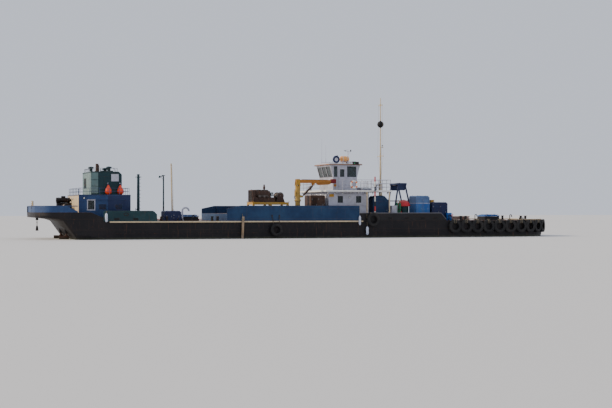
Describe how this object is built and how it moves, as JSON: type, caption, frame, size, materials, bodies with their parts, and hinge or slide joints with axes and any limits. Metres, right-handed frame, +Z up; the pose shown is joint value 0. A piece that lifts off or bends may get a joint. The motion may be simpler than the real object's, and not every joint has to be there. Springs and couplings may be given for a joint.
{
  "type": "river work barge, 1:2 scale model",
  "caption": "Flat-bottomed self-propelled river work barge with aft house, raised midship deck, wheelhouse, lowering mast, deck crane and tyre-fendered bow, at 1:2 scale.",
  "frame": {"origin": "centre of the vessel's length and beam, on the flat bottom's plane", "axes": "+X to the bow, +Y to port, +Z up"},
  "size_m": [24, 4.875, 6.925],
  "materials": {
    "hull_black": "matt, worn",
    "blue": "satin, faded",
    "teal": "satin, faded",
    "pale_blue": "satin",
    "navy": "satin",
    "white": "satin",
    "cream": "satin",
    "orange": "satin",
    "yellow": "satin",
    "vent_red": "gloss",
    "fender_red": "semi-gloss",
    "brown": "matt, rusty",
    "rubber": "matt",
    "day_shape": "matt",
    "wood": "weathered",
    "steel": "polished rod",
    "bronze": "satin"
  },
  "bodies": {
    "vessel": {"hull": "hull_black", "stern_bulwark": "blue", "raised_midship": "blue", "rubbing_strake_starboard": "cream", "rubbing_strake_port": "cream", "quarter_bulwark_starboard": "teal", "quarter_bulwark_port": "teal", "fore_bulwark_starboard": "hull_black", "fore_bulwark_port": "hull_black", "side_tyre_starboard": "rubber", "side_tyre_port": "rubber", "bow_fender_belt": "rubber", "log_fender": "wood", "aft_house": "blue", "casing": "teal", "exhaust_pipe": "brown", "teardrop_fender_1": "fender_red", "teardrop_fender_2": "fender_red", "stern_winch_frame": "hull_black", "stern_anchor": "hull_black", "king_post": "teal", "lamp_post": "teal", "aft_pole": "cream", "gauge_post": "white", "aft_locker": "navy", "companion_casing": "blue", "pale_locker": "pale_blue", "fore_locker": "navy", "power_pack": "teal", "gooseneck_vent": "white", "mushroom_vent": "vent_red", "pump_frame": "yellow", "pump_engine": "brown", "crane_pedestal": "yellow", "deckhouse": "white", "boat_deck": "white", "wheelhouse": "white", "wheelhouse_roof": "white", "tabernacle": "cream", "bow_gantry": "navy"},
    "rudder_starboard": {"rudder_starboard": "brown"},
    "rudder_port": {"rudder_port": "brown"},
    "propeller_starboard": {"propeller_starboard": "bronze"},
    "propeller_port": {"propeller_port": "bronze"},
    "stern_winch_drum": {"stern_winch_drum": "brown"},
    "pump_drum": {"pump_drum": "brown"},
    "gantry_drum": {"gantry_drum": "brown"},
    "crane_head": {"crane_head": "yellow"},
    "crane_jib": {"crane_jib": "orange"},
    "luff_barrel": {"luff_barrel": "brown"},
    "luff_rod": {"luff_rod": "steel"},
    "mast": {"mast": "cream", "day_ball": "day_shape"},
    "wheelhouse_door_starboard": {"wheelhouse_door_starboard": "white"},
    "wheelhouse_door_port": {"wheelhouse_door_port": "white"},
    "deckhouse_door": {"deckhouse_door": "white"},
    "aft_house_door": {"aft_house_door": "blue"},
    "engine_hatch_lid": {"engine_hatch_lid": "pale_blue"},
    "fore_hatch_lid": {"fore_hatch_lid": "pale_blue"}
  },
  "joints": [
    {"name": "rudder_starboard_turn", "type": "hinge", "parent": "vessel", "child": "rudder_starboard", "pos_m": [-10.625, -0.85, 0.5], "axis": [0, 0, 1], "range_deg": [-35, 35]},
    {"name": "rudder_port_turn", "type": "hinge", "parent": "vessel", "child": "rudder_port", "pos_m": [-10.625, 0.85, 0.5], "axis": [0, 0, 1], "range_deg": [-35, 35]},
    {"name": "propeller_starboard_spin", "type": "hinge", "parent": "vessel", "child": "propeller_starboard", "pos_m": [-10.125, -0.85, 0.25], "axis": [1, 0, 0], "continuous": true},
    {"name": "propeller_port_spin", "type": "hinge", "parent": "vessel", "child": "propeller_port", "pos_m": [-10.125, 0.85, 0.25], "axis": [1, 0, 0], "continuous": true},
    {"name": "stern_winch_spin", "type": "hinge", "parent": "vessel", "child": "stern_winch_drum", "pos_m": [-10.54, 0, 1.89], "axis": [0, 1, 0], "continuous": true},
    {"name": "pump_drum_spin", "type": "hinge", "parent": "vessel", "child": "pump_drum", "pos_m": [-1.35, -1.1, 2.35], "axis": [0, 1, 0], "continuous": true},
    {"name": "gantry_drum_spin", "type": "hinge", "parent": "vessel", "child": "gantry_drum", "pos_m": [4.9, 0, 1.75], "axis": [0, 1, 0], "continuous": true},
    {"name": "crane_slew", "type": "hinge", "parent": "vessel", "child": "crane_head", "pos_m": [-0.5, -1.2, 2.15], "axis": [0, 0, 1], "range_deg": [-180, 0]},
    {"name": "crane_luff", "type": "hinge", "parent": "crane_head", "child": "crane_jib", "pos_m": [-0.5, -1.2, 3], "axis": [0, -1, 0], "range_deg": [0, 55]},
    {"name": "luff_barrel_pivot", "type": "hinge", "parent": "crane_head", "child": "luff_barrel", "pos_m": [-0.29, -1.2, 2.325], "axis": [0, -1, 0], "range_deg": [0, 29.5]},
    {"name": "luff_rod_slide", "type": "slide", "parent": "luff_barrel", "child": "luff_rod", "axis": [0.7105, 0, 0.7036], "range_m": [0, 0.505]},
    {"name": "mast_lower", "type": "hinge", "parent": "vessel", "child": "mast", "pos_m": [3.95, 0, 2.875], "axis": [0, 1, 0], "range_deg": [0, 75]},
    {"name": "wheelhouse_door_starboard_open", "type": "hinge", "parent": "vessel", "child": "wheelhouse_door_starboard", "pos_m": [1.875, -0.94325, 3.14], "axis": [0, 0, 1], "range_deg": [0, 110]},
    {"name": "wheelhouse_door_port_open", "type": "hinge", "parent": "vessel", "child": "wheelhouse_door_port", "pos_m": [1.875, 0.94325, 3.14], "axis": [0, 0, 1], "range_deg": [-110, 0]},
    {"name": "deckhouse_door_open", "type": "hinge", "parent": "vessel", "child": "deckhouse_door", "pos_m": [0.78175, 1.05, 2.04], "axis": [0, 0, 1], "range_deg": [-110, 0]},
    {"name": "aft_house_door_open", "type": "hinge", "parent": "vessel", "child": "aft_house_door", "pos_m": [-8.03175, 0.75, 1.8], "axis": [0, 0, 1], "range_deg": [0, 110]},
    {"name": "engine_hatch_open", "type": "hinge", "parent": "vessel", "child": "engine_hatch_lid", "pos_m": [-5.225, 0.88, 1.4545], "axis": [-1, 0, 0], "range_deg": [0, 100]},
    {"name": "fore_hatch_open", "type": "hinge", "parent": "vessel", "child": "fore_hatch_lid", "pos_m": [9.0125, -0.52, 1.4545], "axis": [-1, 0, 0], "range_deg": [0, 100]}
  ],
  "couplings": [
    {"joint": "rudder_port_turn", "follows": "rudder_starboard_turn", "ratio": 1},
    {"joint": "luff_barrel_pivot", "follows": "crane_luff", "ratio": 0.5289},
    {"joint": "luff_rod_slide", "follows": "crane_luff", "m_per_rad": 0.5187}
  ]
}
